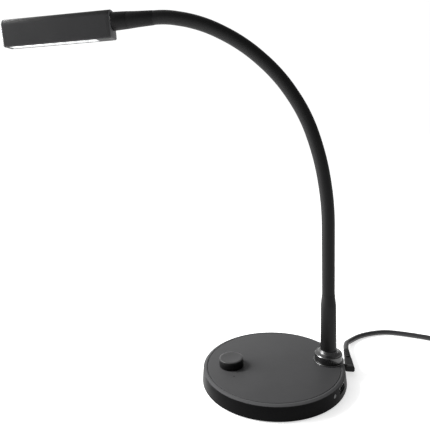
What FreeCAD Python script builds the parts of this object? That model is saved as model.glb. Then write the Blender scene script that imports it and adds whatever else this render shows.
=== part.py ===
import FreeCAD, Part
import math
import os

# A gooseneck desk lamp. Millimetres and degrees; the origin is the centre of the
# base's underside, +Z is up and +X runs from the dimmer knob to the post.

V = FreeCAD.Vector
UP = V(0, 0, 1)

# Base
BASE_EDGE_R = 75.0        # top edge of the side wall
BASE_FOOT_R = 76.6        # foot of the side wall
BASE_H = 16.0
PAD_H = 1.0
PAD_R = 73.0
WALL_FOOT_R = 74.9        # inside of the wall at its foot
WALL_TOP_R = 73.4
DECK_Z = 13.2             # underside of the deck
PLATE_T = 1.2
PLATE_R = 70.5
PLATE_GAP = 0.4
COVER_T = 1.4
COVER_R = 74.6
WEIGHT_R = 61.5
WEIGHT_T = 7.0
SCREW_CIRCLE_R = 66.0
SCREW_ANGLES = (20, 110, 200, 290)

# Dimmer
KNOB_X = -44.6
KNOB_R = 13.0
KNOB_BOTTOM = 16.4
KNOB_TOP = 25.2
DIMMER_BODY_R = 8.5
SHAFT_R = 3.0
BUSH_R = 3.5
RUN_FIT = 0.05

# Ports in the side wall
USB_AZ = -35.5
LENS_AZ = -48.0
BOARD_TOP = 7.0
BOARD_T = 1.6
USB_W, USB_H, USB_L = 13.2, 5.7, 14.0
JACK_Z = 6.4
JACK_W, JACK_H = 9.0, 6.4
JACK_FACE_X = 75.4
BARREL_R = 2.75

# Post
POST_X = 60.4
STUD_R = 5.0
FLANGE_R = 16.0
FLANGE_T = 1.2
COLLAR_R = 14.6
COLLAR_TOP = 29.0
POST_TOP = 90.0
FERRULE_Z = (30.0, 62.0)
CORE_FOOT_Z = 50.0
STUD_TOP_Z = 44.0

# Gooseneck
NECK_R = 6.6              # outside of the sleeve
CORE_R = 4.8
BORE_R = 1.6
NECK_START_Z = 92.0
PITCH = 46.4              # from joint to joint
BENDS = (0, 0, 8.4, 9.3, 14.7, 14.3, 13.9, 16.7, 12.7)   # each piece's own bend
ARM_AZ = 171.3            # the plane in which the neck bends, seen from above
BALL_R = 6.1
SOCKET_R = 6.25
SLEEVE_GAP = 2.0          # from a joint to the sleeve on either side

# Head
HEAD_START = 210.0        # from the post's axis to the head's end face
HEAD_L = 118.0
HEAD_W = 16.0
HEAD_TOP = 10.9           # above the neck's axis
HEAD_BOTTOM = -16.5
HEAD_WALL = 1.5
HEAD_ARCH_R = 7.0
HEAD_EDGE_R = 2.0
HEAD_TWIST = -2.7         # the lamp's window leans a little to the camera's side
NECK_CAP_T = 4.0
TIP_CAP_T = 3.5
SOCKET_L = 16.0
SOCKET_POCKET = -6.0      # the end of the core's seat, from the head's end face
BOOT_L = 26.0
LED_COUNT = 8

# Lead
CORD_R = 3.0
LOOPS_PER_LAYER = 3
COIL_MID_R = 34.0
COIL_STEP = 7.0           # between neighbouring turns
LAYER_STEP = 6.6
PLUG_L = 41.0
PLUG_AZ = 77.3            # the angled plug lies along the wall
ADAPTER = (62.0, 38.0, 26.0)

os.makedirs("parts", exist_ok=True)


def save(name, *solids):
    """Write one node, a solid or a group of like solids."""
    shape = solids[0] if len(solids) == 1 else Part.makeCompound(list(solids))
    for solid in shape.Solids:
        if not solid.isValid():
            raise ValueError(name + " is not valid")
    if len(shape.Solids) < len(solids):
        raise ValueError(name + " has lost a solid")
    shape.exportStep("parts/" + name + ".step")


def disc(radius, bottom, top, x=0.0, y=0.0):
    return Part.makeCylinder(radius, top - bottom, V(x, y, bottom))


def ring(outer, inner, bottom, top, x=0.0, y=0.0):
    return disc(outer, bottom, top, x, y).cut(disc(inner, bottom, top, x, y))


def block(low, high):
    size = V(*high) - V(*low)
    return Part.makeBox(size.x, size.y, size.z, V(*low))


def hexagon(across_flats, bottom, top, x=0.0, y=0.0):
    radius = across_flats / 2 / math.cos(math.pi / 6)
    corners = []
    for i in range(7):
        angle = math.radians(60 * i + 30)
        corners.append(V(x + radius * math.cos(angle), y + radius * math.sin(angle), bottom))
    return Part.Face(Part.makePolygon(corners)).extrude(UP * (top - bottom))


def wire_of(start, *steps):
    """A closed outline in the XZ plane. A step of two numbers is a line's end; four are an arc's middle and end."""
    edges = []
    here = V(start[0], 0, start[1])
    for step in steps + (start,):
        end = V(step[-2], 0, step[-1])
        if len(step) == 4:
            edges.append(Part.Arc(here, V(step[0], 0, step[1]), end).toShape())
        elif (end - here).Length > 1e-9:
            edges.append(Part.LineSegment(here, end).toShape())
        here = end
    return Part.Wire(edges)


def turned(start, *steps):
    """A solid of revolution about Z from an outline in radius and height."""
    return Part.Face(wire_of(start, *steps)).revolve(V(0, 0, 0), UP, 360)


def polar(shape, azimuth):
    """Turn a shape modelled along +X to its place round the base."""
    return shape.rotated(V(0, 0, 0), UP, azimuth)


def at_polar(radius, azimuth):
    angle = math.radians(azimuth)
    return radius * math.cos(angle), radius * math.sin(angle)


# The base

DECK_TOP = BASE_H - PLATE_T
COVER_TOP = PAD_H + COVER_T
WEIGHT_TOP = COVER_TOP + WEIGHT_T
USB_BOTTOM = BOARD_TOP
USB_TOP = USB_BOTTOM + USB_H
USB_FACE = 74.9
LENS_R = 2.0
LENS_Z = 10.0
NOTCH = 0.15
HOLD_DOWN = ((26, 15), (-26, 15), (0, -30))
BOARD_SCREWS = ((51.0, -54.0), (50.0, -14.0))
SCREW_R = 1.25
DISH_DEPTH = 0.5
KNOB_HOLLOW_R = 7.5
BUSH_TOP = 20.0
SHAFT_TOP = 23.6
SHAFT_BOTTOM = DECK_Z - 6.2
SCREW_BOSS_R = 3.5
HOLD_DOWN_R = 3.0
BOARD_BOSS_R = 2.6
BOARD_SCREW_R = 1.0
SHELL_WALL = 0.35         # the charging port's folded metal


def base_housing():
    """The moulded cover: a flared wall, a chamfered rim and a deck sunk to take the top plate."""
    inner_ledge = PLATE_R + PLATE_GAP
    shell = turned((0, DECK_Z), (WALL_TOP_R, DECK_Z), (WALL_FOOT_R, PAD_H), (BASE_FOOT_R, PAD_H),
                   (BASE_EDGE_R, BASE_H - 1.0), (72.4, BASE_H), (inner_ledge, BASE_H),
                   (inner_ledge, DECK_TOP), (0, DECK_TOP))
    for angle in SCREW_ANGLES:
        x, y = at_polar(SCREW_CIRCLE_R, angle)
        shell = shell.fuse(disc(SCREW_BOSS_R, COVER_TOP, DECK_Z + 0.5, x, y))
        shell = shell.cut(disc(SCREW_R, COVER_TOP, 9.0, x, y))
    for x, y in HOLD_DOWN:
        shell = shell.fuse(disc(HOLD_DOWN_R, WEIGHT_TOP, DECK_Z + 0.5, x, y))
    for radius, angle in BOARD_SCREWS:
        x, y = at_polar(radius, angle)
        shell = shell.fuse(disc(BOARD_BOSS_R, BOARD_TOP, DECK_Z + 0.5, x, y))
        shell = shell.cut(disc(BOARD_SCREW_R, BOARD_TOP, 11.0, x, y))
    shell = shell.cut(disc(BUSH_R, DECK_Z, DECK_TOP, KNOB_X))
    shell = shell.cut(disc(STUD_R, DECK_Z, DECK_TOP, POST_X))
    usb = block((72, -USB_W / 2 - NOTCH, USB_BOTTOM - NOTCH), (78, USB_W / 2 + NOTCH, USB_TOP + NOTCH))
    lens = Part.makeCylinder(LENS_R, 6, V(72, 0, LENS_Z), V(1, 0, 0))
    jack = block((72, -JACK_W / 2 - NOTCH, JACK_Z - JACK_H / 2 - NOTCH),
                 (78, JACK_W / 2 + NOTCH, JACK_Z + JACK_H / 2 + NOTCH))
    return shell.cut(polar(usb, USB_AZ)).cut(polar(lens, LENS_AZ)).cut(jack).removeSplitter()


def top_plate():
    plate = disc(PLATE_R, DECK_TOP, BASE_H)
    return plate.cut(disc(BUSH_R, DECK_TOP, BASE_H, KNOB_X)).cut(disc(STUD_R, DECK_TOP, BASE_H, POST_X))


def sector(inner, outer, first, last, bottom, top):
    """Part of a flat ring between two azimuths."""
    band = ring(outer, inner, bottom, top)
    wedge = [V(0, 0, bottom)]
    for i in range(4):
        x, y = at_polar(outer * 1.5, first + (last - first) * i / 3)
        wedge.append(V(x, y, bottom))
    wedge.append(wedge[0])
    return band.common(Part.Face(Part.makePolygon(wedge)).extrude(UP * (top - bottom)))


def base_weight():
    weight = disc(WEIGHT_R, COVER_TOP, WEIGHT_TOP)
    weight = weight.cut(disc(DIMMER_BODY_R + 1.0, COVER_TOP, WEIGHT_TOP, KNOB_X))
    return weight.cut(sector(43, 80, -64, 15, COVER_TOP, WEIGHT_TOP))


def bottom_cover():
    cover = disc(COVER_R, PAD_H, COVER_TOP)
    for angle in SCREW_ANGLES:
        x, y = at_polar(SCREW_CIRCLE_R, angle)
        cover = cover.cut(cover_screw(x, y))
    return cover


def cover_screw(x, y):
    """A countersunk screw, its head flush with the cover."""
    screw = turned((0, PAD_H), (2.6, PAD_H), (SCREW_R, COVER_TOP), (SCREW_R, 8.5), (0, 8.5))
    return screw.translated(V(x, y, 0))


def board_screw(radius, azimuth):
    x, y = at_polar(radius, azimuth)
    bottom = BOARD_TOP - BOARD_T
    screw = turned((0, bottom - 1.5), (2.2, bottom - 1.5), (2.2, bottom), (BOARD_SCREW_R, bottom),
                   (BOARD_SCREW_R, 10.5), (0, 10.5))
    return screw.translated(V(x, y, 0))


def dimmer_body():
    """A rotary dimmer with its threaded bush, which comes up through the deck and the plate."""
    body = disc(DIMMER_BODY_R, DECK_Z - 7.0, DECK_Z, KNOB_X).fuse(disc(BUSH_R, DECK_Z, BUSH_TOP, KNOB_X))
    return body.cut(disc(SHAFT_R + RUN_FIT, SHAFT_BOTTOM, BUSH_TOP, KNOB_X))


def dimmer_nut():
    return hexagon(10, BASE_H, BASE_H + 2.0, KNOB_X).cut(disc(BUSH_R, BASE_H, BASE_H + 2.0, KNOB_X))


def dimmer_knob():
    """A plain knob with a rounded edge and a slightly dished top, hollow below over the nut."""
    edge = 1.5
    knob = turned((0, KNOB_BOTTOM), (KNOB_R, KNOB_BOTTOM), (KNOB_R - 0.25, KNOB_TOP - edge),
                  (KNOB_R - 0.6, KNOB_TOP - 0.4, KNOB_R - edge - 0.2, KNOB_TOP), (0, KNOB_TOP - DISH_DEPTH))
    knob = knob.translated(V(KNOB_X, 0, 0)).cut(disc(KNOB_HOLLOW_R, KNOB_BOTTOM, BUSH_TOP + 0.4, KNOB_X))
    return knob.cut(disc(SHAFT_R, BUSH_TOP + 0.4, SHAFT_TOP, KNOB_X))


def control_board():
    board = sector(45.0, 71.5, -58, 9, BOARD_TOP - BOARD_T, BOARD_TOP)
    board = board.cut(block((63.6, -JACK_W / 2 - 0.2, 0), (80, JACK_W / 2 + 0.2, BOARD_TOP)))
    for radius, angle in BOARD_SCREWS:
        board = board.cut(board_screw(radius, angle))
    return board


def usb_shell():
    """The receptacle's folded metal shell, open to the outside."""
    back = USB_FACE - USB_L
    outer = block((back, -USB_W / 2, USB_BOTTOM), (USB_FACE, USB_W / 2, USB_TOP))
    inner = block((back, -USB_W / 2 + SHELL_WALL, USB_BOTTOM + SHELL_WALL),
                  (USB_FACE, USB_W / 2 - SHELL_WALL, USB_TOP - SHELL_WALL))
    return polar(outer.cut(inner), USB_AZ)


def usb_tongue():
    """The insulator at the back of the receptacle with the tongue that carries its contacts."""
    back = USB_FACE - USB_L
    insulator = block((back, -USB_W / 2 + SHELL_WALL, USB_BOTTOM + SHELL_WALL),
                      (back + 4, USB_W / 2 - SHELL_WALL, USB_TOP - SHELL_WALL))
    tongue = block((back + 4, -5.5, 9.9), (USB_FACE - 1.2, 5.5, 11.7))
    return polar(insulator.fuse(tongue), USB_AZ)


def indicator_lens():
    """A light pipe from the board to a round window in the wall."""
    pipe = Part.makeCylinder(LENS_R, 8.2, V(67.5, 0, LENS_Z), V(1, 0, 0))
    foot = block((66.5, -1.5, BOARD_TOP), (69.5, 1.5, LENS_Z))
    return polar(pipe.fuse(foot), LENS_AZ)


def power_jack():
    body = block((63.8, -JACK_W / 2, JACK_Z - JACK_H / 2), (JACK_FACE_X, JACK_W / 2, JACK_Z + JACK_H / 2))
    bore = Part.makeCylinder(BARREL_R + RUN_FIT, 10.0, V(JACK_FACE_X - 9.4, 0, JACK_Z), V(1, 0, 0))
    pin = Part.makeCylinder(1.0, 8.6, V(JACK_FACE_X - 9.4, 0, JACK_Z), V(1, 0, 0))
    return body.cut(bore).fuse(pin)


# Tubes along a route

def tube_path(route):
    """Straight runs joined by tangent arcs, each as large as 0.45 of its shorter run allows."""
    points = [V(*p) for p in route]
    edges = []
    radii = []
    start = points[0]
    for before, corner, after in zip(points, points[1:], points[2:]):
        back = before - corner
        ahead = after - corner
        reach = 0.45 * min(back.Length, ahead.Length)
        turn = math.pi - back.getAngle(ahead)
        radii.append(reach / math.tan(turn / 2))
        back.normalize()
        ahead.normalize()
        first = corner + back * reach
        last = corner + ahead * reach
        inward = back + ahead
        inward.normalize()
        middle = corner + inward * (radii[-1] / math.cos(turn / 2) - radii[-1])
        edges.append(Part.LineSegment(start, first).toShape())
        edges.append(Part.Arc(first, middle, last).toShape())
        start = last
    edges.append(Part.LineSegment(start, points[-1]).toShape())
    return Part.Wire(edges), radii


def tube_along(wire, radius, start, direction):
    profile = Part.Wire([Part.Circle(start, direction, radius).toShape()])
    return wire.makePipeShell([profile], True, False)


def lead(name, route, radius):
    """A tube along a route; its volume is compared with its section times its length."""
    wire, radii = tube_path(route)
    tube = tube_along(wire, radius, V(*route[0]), V(*route[1]) - V(*route[0]))
    share = tube.Volume / (math.pi * radius ** 2 * wire.Length)
    print(name, "length", round(wire.Length, 1), "radii", [round(r, 1) for r in radii], "volume share", round(share, 4))
    return tube


def base_leads():
    """The dimmer's lead over the weight to the board, and the lead that rises into the post."""
    radius = 1.2
    over = 11.3
    dimmer_side = KNOB_X + DIMMER_BODY_R
    across = lead("dimmer lead", ((dimmer_side, 0, over), (-22, -4, over), (4, -12, over), (26, -24, over),
                                  (45.5, -27.6, over), (45.5, -27.6, BOARD_TOP)), radius)
    rising = disc(radius, BOARD_TOP, FERRULE_Z[1] - 8.0, POST_X)
    return across, rising


# The post

def post_flange():
    return ring(FLANGE_R, STUD_R, BASE_H, BASE_H + FLANGE_T, POST_X)


def post_collar():
    """The turned foot of the post: a bevelled rim and a hollow slope up to the post."""
    bottom = BASE_H + FLANGE_T
    seat = 21.0
    collar = turned((STUD_R, bottom), (COLLAR_R, bottom), (COLLAR_R - 0.3, 24.3), (COLLAR_R - 0.9, 25.0),
                    (COLLAR_R - 1.6, 25.0), (10.3, 26.3, 8.9, COLLAR_TOP), (8.45, COLLAR_TOP), (8.45, seat),
                    (STUD_R, seat))
    return collar.translated(V(POST_X, 0, 0))


def post_sleeve():
    """A long taper with a short cone at its top, bored for the neck."""
    sleeve = turned((NECK_R, 21.0), (8.45, 21.0), (8.4, 30.0), (7.95, 78.0), (7.75, 82.0, 7.25, 86.0),
                    (6.9, 89.2), (6.8, POST_TOP), (NECK_R, POST_TOP))
    return sleeve.translated(V(POST_X, 0, 0))


def lower_ferrule():
    """Holds the neck's core above and takes the stud's thread below."""
    bottom, top = FERRULE_Z
    ferrule = disc(NECK_R, bottom, top, POST_X).cut(disc(STUD_R, bottom, STUD_TOP_Z, POST_X))
    ferrule = ferrule.cut(disc(BORE_R, STUD_TOP_Z, CORE_FOOT_Z, POST_X))
    return ferrule.cut(disc(CORE_R, CORE_FOOT_Z, top, POST_X))


STUD_BOTTOM = 9.8


def hollow_stud():
    return ring(STUD_R, 2.6, STUD_BOTTOM, STUD_TOP_Z, POST_X)


def stud_nut():
    return hexagon(14, STUD_BOTTOM, 12.2, POST_X).cut(disc(STUD_R, STUD_BOTTOM, 12.2, POST_X))


def stud_washer():
    return ring(11.0, STUD_R, 12.2, DECK_Z, POST_X)


# The gooseneck

ARM = V(math.cos(math.radians(ARM_AZ)), math.sin(math.radians(ARM_AZ)), 0)
ARM_SIDE = UP.cross(ARM)


def in_plane(reach, height):
    """A point of the neck's plane, from its reach out of the post's axis and its height."""
    return V(POST_X, 0, 0) + ARM * reach + UP * height


def heading(angle):
    """The direction in the neck's plane that rises by this angle."""
    return ARM * math.cos(math.radians(angle)) + UP * math.sin(math.radians(angle))


class Stretch:
    """One piece of the neck: straight near its joints, and bent at a steady rate along its sleeve."""

    def __init__(self, start, angle, lead_in, sleeve, lead_out, bend):
        self.start = start
        self.bend = bend
        self.sleeve = sleeve
        self.way = heading(angle)
        self.end_way = heading(angle - bend)
        self.first = start + self.way * lead_in
        self.last = self.first + self.way * sleeve
        if bend:
            self.centre = self.first + ARM_SIDE.cross(self.way) * (sleeve / math.radians(bend))
            turn = FreeCAD.Rotation(ARM_SIDE, bend)
            self.last = self.centre + turn.multVec(self.first - self.centre)
        self.end = self.last + self.end_way * lead_out

    def tube(self, radius, bore):
        """A round tube along the sleeve's part of the piece."""
        rims = [Part.Wire([Part.Circle(self.first, self.way, r).toShape()]) for r in (radius, bore)]
        face = Part.Face(rims[0]).cut(Part.Face(rims[1]))
        if not self.bend:
            return face.extrude(self.way * self.sleeve)
        return face.revolve(self.centre, ARM_SIDE, self.bend)


def neck_stretches():
    """The nine pieces from the post to the head: two halves and seven full ones between."""
    stretches = []
    start = in_plane(0, NECK_START_Z)
    angle = 90.0
    last = len(BENDS) - 1
    for index, bend in enumerate(BENDS):
        lead_in = 0 if index == 0 else SLEEVE_GAP
        lead_out = 0 if index == last else SLEEVE_GAP
        length = PITCH / 2 if index in (0, last) else PITCH
        stretches.append(Stretch(start, angle, lead_in, length - lead_in - lead_out, lead_out, bend))
        start = stretches[-1].end
        angle -= bend
    return stretches


NECK = neck_stretches()
HEAD_Z = NECK[-1].end.z


def ball(stretch):
    """The round end that stands in the next piece, cut flat against this piece's own sleeve."""
    base_r = math.sqrt(BALL_R ** 2 - SLEEVE_GAP ** 2)
    tip_z = math.sqrt(BALL_R ** 2 - BORE_R ** 2)
    shape = turned((BORE_R, -SLEEVE_GAP), (base_r, -SLEEVE_GAP), (BALL_R, 0, BORE_R, tip_z))
    return shape.rotated(V(0, 0, 0), *tilt_to(stretch.end_way)).translated(stretch.end)


def tilt_to(way):
    """The axis and the angle that turn +Z to a direction of the neck's plane."""
    return ARM_SIDE, math.degrees(UP.getAngle(way))


def socket(stretch):
    """The hollow that takes the ball of the piece before, its poles on the neck's axis."""
    return Part.makeSphere(SOCKET_R).rotated(V(0, 0, 0), *tilt_to(stretch.way)).translated(stretch.start)


def level_tube(radius, bore, reach):
    """The level end of the neck, from its last bend to a reach out of the post's axis."""
    start = NECK[-1].end
    length = reach - (start - in_plane(0, HEAD_Z)).dot(ARM)
    tube = Part.makeCylinder(radius, length, start, ARM)
    return tube.cut(Part.makeCylinder(bore, length, start, ARM))


def neck_core(index):
    """The steel core of one piece: a socket at its lower end and a ball at its upper end."""
    stretch = NECK[index]
    core = stretch.tube(CORE_R, BORE_R)
    if index == 0:
        core = ring(CORE_R, BORE_R, CORE_FOOT_Z, NECK_START_Z, POST_X).fuse(core)
    else:
        core = core.cut(socket(stretch))
    if index == len(NECK) - 1:
        return core.fuse(level_tube(CORE_R, BORE_R, HEAD_START + SOCKET_POCKET)).removeSplitter()
    return core.fuse(ball(stretch)).removeSplitter()


def neck_sleeve(index):
    """The smooth sleeve round one piece's core, open at the joints so that it can bend there."""
    stretch = NECK[index]
    sleeve = stretch.tube(NECK_R, CORE_R)
    if index == 0:
        return ring(NECK_R, CORE_R, FERRULE_Z[1], NECK_START_Z, POST_X).fuse(sleeve).removeSplitter()
    sleeve = sleeve.cut(socket(stretch))
    if index == len(NECK) - 1:
        return sleeve.fuse(level_tube(NECK_R, CORE_R, HEAD_START - SOCKET_L))
    return sleeve


# The head, modelled along +X from its end face with +Y to its front, then put in place

INNER_HALF = HEAD_W / 2 - HEAD_WALL
FRAME_T = 2.2
WINDOW_HALF = 5.7
WINDOW = (17.0, HEAD_L - 5.0)
LENS_FACE = HEAD_BOTTOM + 0.3
BOARD_Z = -8.3
TIP_SEAM = HEAD_L - TIP_CAP_T
SPIGOT_L = 2.5


def place_head(shape):
    """From the head's own frame to its place on the neck's end."""
    twisted = shape.rotated(V(0, 0, 0), V(1, 0, 0), HEAD_TWIST)
    return twisted.rotated(V(0, 0, 0), UP, ARM_AZ).translated(in_plane(HEAD_START, HEAD_Z))


def section(half, top, bottom, arch, edge, first, last):
    """The head's section, arched at the top and eased at its lower edges, drawn out along X."""
    lean = math.sqrt(0.5)
    arch_y, arch_z = half - arch, top - arch
    edge_y, edge_z = half - edge, bottom + edge
    outline = [(V(first, half, edge_z), V(first, half, arch_z)),
               (V(first, half, arch_z), V(first, arch_y + arch * lean, arch_z + arch * lean), V(first, arch_y, top)),
               (V(first, arch_y, top), V(first, -arch_y, top)),
               (V(first, -arch_y, top), V(first, -arch_y - arch * lean, arch_z + arch * lean), V(first, -half, arch_z)),
               (V(first, -half, arch_z), V(first, -half, edge_z)),
               (V(first, -half, edge_z), V(first, -edge_y - edge * lean, edge_z - edge * lean), V(first, -edge_y, bottom)),
               (V(first, -edge_y, bottom), V(first, edge_y, bottom)),
               (V(first, edge_y, bottom), V(first, edge_y + edge * lean, edge_z - edge * lean), V(first, half, edge_z))]
    edges = []
    for points in outline:
        curve = Part.LineSegment(*points) if len(points) == 2 else Part.Arc(*points)
        edges.append(curve.toShape())
    return Part.Face(Part.Wire(edges)).extrude(V(last - first, 0, 0))


def outer_section(first, last):
    return section(HEAD_W / 2, HEAD_TOP, HEAD_BOTTOM, HEAD_ARCH_R, HEAD_EDGE_R, first, last)


def inner_section(bottom, first, last):
    arch = HEAD_ARCH_R - HEAD_WALL
    return section(INNER_HALF, HEAD_TOP - HEAD_WALL, bottom, arch, 0.4, first, last)


def head_housing():
    """A thin arched channel, open below for the window frame."""
    hollow = inner_section(HEAD_BOTTOM - 5, NECK_CAP_T, TIP_SEAM)
    return outer_section(NECK_CAP_T, TIP_SEAM).cut(hollow)


def neck_end_cap():
    """The flat end of the head, its rim bevelled, bored for the neck's socket."""
    cap = outer_section(0, NECK_CAP_T)
    rim = [edge for edge in cap.Edges if edge.BoundBox.XMax < 0.01]
    return cap.makeChamfer(0.6, rim).cut(Part.makeCylinder(4.5, NECK_CAP_T, V(0, 0, 0), V(1, 0, 0)))


def rounded_end(length, low, high, radius):
    """Line and arc points of a bar's end with two rounded corners, in length and height."""
    lean = radius * (1 - math.sqrt(0.5))
    return ((length - radius, low), (length - lean, low + lean, length, low + radius),
            (length, high - radius), (length - lean, high - lean, length - radius, high))


def tip_end_cap():
    """The far end of the head, rounded in plan and at its top and bottom, with a spigot into the housing."""
    cap = outer_section(TIP_SEAM, HEAD_L)
    half = HEAD_W / 2
    plan = Part.Face(wire_of((0, -half), *rounded_end(HEAD_L, -half, half, 3.0), (0, half)))
    plan = plan.rotated(V(0, 0, 0), V(1, 0, 0), -90).extrude(UP * 60).translated(V(0, 0, -30))
    side = Part.Face(wire_of((0, HEAD_BOTTOM), *rounded_end(HEAD_L, HEAD_BOTTOM, HEAD_TOP, 2.0), (0, HEAD_TOP)))
    side = side.extrude(V(0, 60, 0)).translated(V(0, -30, 0))
    spigot = inner_section(-12.5, TIP_SEAM - SPIGOT_L, TIP_SEAM)
    return cap.common(plan).common(side).fuse(spigot).removeSplitter()


def lens_frame():
    """The flat black frame that closes the channel round its window."""
    frame = block((NECK_CAP_T, -INNER_HALF, HEAD_BOTTOM), (TIP_SEAM, INNER_HALF, HEAD_BOTTOM + FRAME_T))
    return frame.cut(block((WINDOW[0], -WINDOW_HALF, HEAD_BOTTOM), (WINDOW[1], WINDOW_HALF, HEAD_BOTTOM + FRAME_T)))


def lens():
    """A stepped diffuser: its flange lies on the frame and its face fills the window."""
    top = HEAD_BOTTOM + FRAME_T
    face = block((WINDOW[0], -WINDOW_HALF, LENS_FACE), (WINDOW[1], WINDOW_HALF, top))
    return face.fuse(block((WINDOW[0] - 3, -INNER_HALF, top), (TIP_SEAM, INNER_HALF, top + 1.0)))


def heat_sink():
    bar = block((12, -INNER_HALF, BOARD_Z), (TIP_SEAM - SPIGOT_L, INNER_HALF, BOARD_Z + 5))
    return bar.cut(block((12, -3.5, BOARD_Z + 2), (TIP_SEAM - SPIGOT_L, 3.5, BOARD_Z + 5)))


def led_board():
    return block((12, -5.5, BOARD_Z - 1.2), (TIP_SEAM - SPIGOT_L, 5.5, BOARD_Z))


def leds():
    """A row of equal steps along the window."""
    step = (WINDOW[1] - WINDOW[0]) / LED_COUNT
    row = []
    for i in range(LED_COUNT):
        x = WINDOW[0] + step * (i + 0.5) - 1.0
        row.append(block((x - 1.4, -1.75, BOARD_Z - 2.0), (x + 1.4, 1.75, BOARD_Z - 1.2)))
    return row


def along_head(start, *steps):
    """A solid of revolution about the neck's axis, from an outline in length and radius."""
    return Part.Face(wire_of(start, *steps)).revolve(V(0, 0, 0), V(1, 0, 0), 360)


def head_boot():
    """The tapered rubber boot over the end of the neck."""
    back = -SOCKET_L - BOOT_L
    return along_head((back, NECK_R), (back, 6.8), (-SOCKET_L - 9, 7.45, -SOCKET_L, 8.1), (-SOCKET_L, NECK_R))


def head_socket():
    """The turned socket: it holds the core's end, and its stem passes through the end cap."""
    return along_head((-SOCKET_L, CORE_R), (-SOCKET_L, 8.15), (-0.4, 8.7), (0, 8.3), (0, 4.5), (9.0, 4.5),
                      (9.0, BORE_R), (SOCKET_POCKET, BORE_R), (SOCKET_POCKET, CORE_R))


def socket_nut():
    nut = hexagon(12, 0, 3.0).cut(disc(4.5, 0, 3.0)).rotated(V(0, 0, 0), UP, 30)
    return nut.rotated(V(0, 0, 0), V(0, 1, 0), 90).translated(V(NECK_CAP_T, 0, 0))


# The plug and the lead

PLUG_BODY_L = 22.0
HUB_WALL = 0.9
PLUG_START = V(82.0, -5.6, JACK_Z)
PLUG_WAY = V(math.cos(math.radians(PLUG_AZ)), math.sin(math.radians(PLUG_AZ)), 0)
PLUG_SIDE = UP.cross(PLUG_WAY)


def rounded_ring(s, half_width, half_height, corner):
    """A rounded oblong square to the plug's length, s along it."""
    middle = PLUG_START + PLUG_WAY * s
    inset = corner * (1 - math.sqrt(0.5))
    edges = []
    corners = ((1, 1), (-1, 1), (-1, -1), (1, -1))
    ends = []
    for side, rise in corners:
        along = middle + PLUG_SIDE * side * (half_width - corner) + UP * rise * half_height
        bend = middle + PLUG_SIDE * side * (half_width - inset) + UP * rise * (half_height - inset)
        up = middle + PLUG_SIDE * side * half_width + UP * rise * (half_height - corner)
        ends.append((up, bend, along) if side * rise > 0 else (along, bend, up))
    for this, following in zip(ends, ends[1:] + ends[:1]):
        edges.append(Part.Arc(*this).toShape())
        edges.append(Part.LineSegment(this[2], following[0]).toShape())
    return Part.Wire(edges)


def power_plug():
    """A moulded angled plug: a flat body that narrows into a grooved strain relief."""
    body = Part.makeLoft([rounded_ring(0, 4.6, 2.5, 1.6), rounded_ring(1.2, 5.0, 2.9, 2.0),
                          rounded_ring(PLUG_BODY_L, 4.1, 2.9, 2.4)], True, True)
    tail = PLUG_START + PLUG_WAY * PLUG_BODY_L
    relief = Part.makeCone(3.9, CORD_R + 0.2, PLUG_L - PLUG_BODY_L, tail, PLUG_WAY)
    for i in range(4):
        groove_at = tail + PLUG_WAY * (3.0 + 3.6 * i)
        groove = Part.makeCylinder(6, 1.2, groove_at, PLUG_WAY)
        relief = relief.cut(groove.cut(Part.makeCylinder(CORD_R, 1.2, groove_at, PLUG_WAY)))
    hub = Part.makeCylinder(BARREL_R + HUB_WALL, 5.0, V(JACK_FACE_X, 0, JACK_Z), V(1, 0, 0))
    bore = Part.makeCylinder(BARREL_R, 3.0, V(JACK_FACE_X, 0, JACK_Z), V(1, 0, 0))
    return body.fuse(relief).fuse(hub).cut(bore)


def plug_barrel():
    start = V(JACK_FACE_X - 9.0, 0, JACK_Z)
    barrel = Part.makeCylinder(BARREL_R, 12.0, start, V(1, 0, 0))
    return barrel.cut(Part.makeCylinder(1.0 + RUN_FIT, 9.0, start, V(1, 0, 0)))


PLUG_TAIL = PLUG_START + PLUG_WAY * PLUG_L
CORD_ROUTE = (tuple(PLUG_TAIL), (94.9, 50.4, JACK_Z), (104.2, 63.2, CORD_R), (120.6, 75.4, CORD_R),
              (140.2, 81.6, CORD_R), (158.6, 82.6, CORD_R), (176.0, 75.4, CORD_R), (196.6, 64.6, CORD_R),
              (219.0, 49.6, CORD_R), (238.0, 43.0, CORD_R))


# The put-away coil: a spiral in on the lower layer, a climb, and a spiral out on the upper layer

COIL_OUT_R = COIL_MID_R + COIL_STEP * LOOPS_PER_LAYER / 2
COIL_IN_R = COIL_MID_R - COIL_STEP * LOOPS_PER_LAYER / 2
COIL_TURNS = 2 * LOOPS_PER_LAYER


def coil_radius_height(turn):
    """Radius and height after a number of turns: steady in and out, with the climb in the half turn between."""
    from_middle = turn - COIL_TURNS / 2
    reach = abs(from_middle)
    if reach < 0.25:
        share = 0.125 + 2 * reach * reach
        radius = COIL_IN_R + COIL_STEP * share
    else:
        radius = COIL_IN_R + COIL_STEP * reach
    climb = min(max(from_middle + 0.25, 0.0), 0.5) / 0.5
    return radius, CORD_R + LAYER_STEP * climb * climb * (3 - 2 * climb)


def coil_point(turn):
    """A point of the coil about its own centre; the coil runs clockwise from +Y."""
    radius, height = coil_radius_height(turn)
    angle = math.pi / 2 - 2 * math.pi * turn
    return V(radius * math.cos(angle), radius * math.sin(angle), height)


def coil_way(turn):
    ahead = min(turn + 1e-5, COIL_TURNS)
    behind = max(turn - 1e-5, 0.0)
    way = coil_point(ahead) - coil_point(behind)
    way.z = 0 if abs(turn - COIL_TURNS / 2) > 0.249 else way.z
    return way.normalize()


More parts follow.
